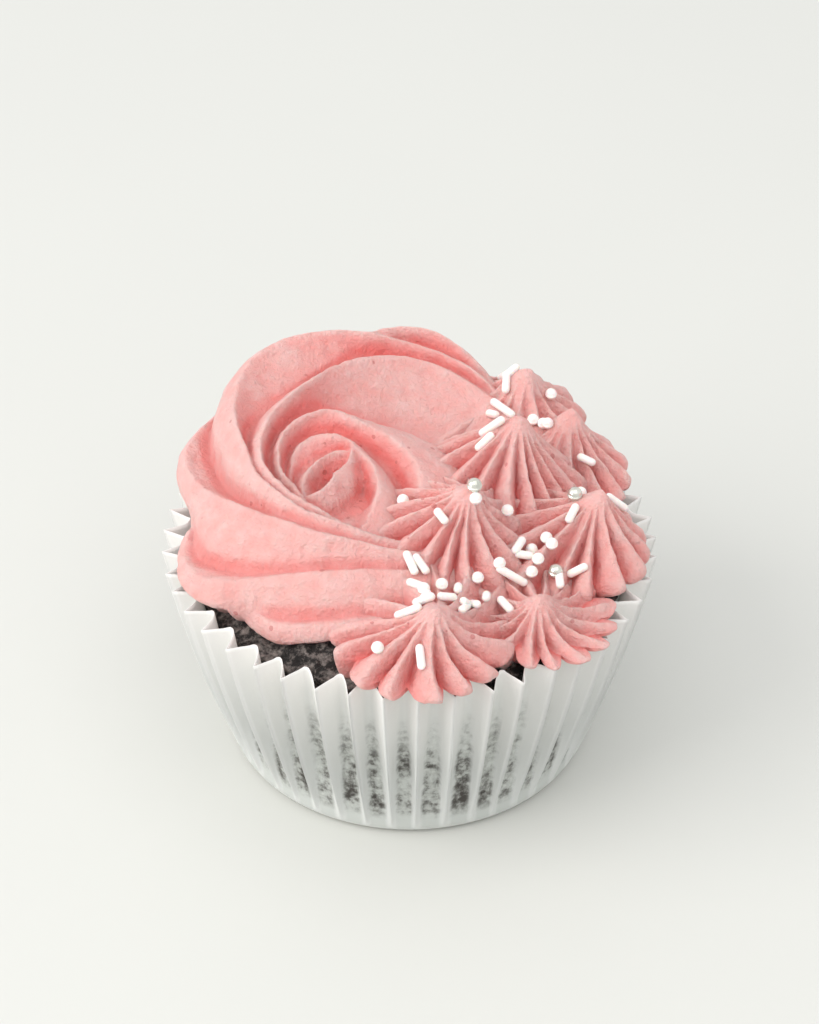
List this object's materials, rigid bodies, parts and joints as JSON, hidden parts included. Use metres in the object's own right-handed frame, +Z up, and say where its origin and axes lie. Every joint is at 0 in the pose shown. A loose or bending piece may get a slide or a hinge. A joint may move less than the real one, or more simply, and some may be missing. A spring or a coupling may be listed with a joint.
{
  "type": "cupcake",
  "caption": "Frosted cupcake in a pleated paper case, with a piped rose swirl and a cluster of piped stars on its domed cake.",
  "frame": {"origin": "centre of the case's flat base, on the surface that the cupcake rests on", "axes": "+Z up; +X to the right as the viewer sees it, the rose being on the -X side; -Y towards the viewer"},
  "size_m": [0.067, 0.069, 0.0456],
  "materials": {
    "paper": "thin translucent baking paper",
    "cake": null,
    "icing": null
  },
  "bodies": {
    "root": {"paper_case": "paper", "cake": "cake", "rose_swirl": "icing", "star_front": "icing", "star_front_right": "icing", "star_middle": "icing", "star_upper_middle": "icing", "star_back": "icing", "star_right": "icing", "star_right_back": "icing"}
  },
  "joints": []
}
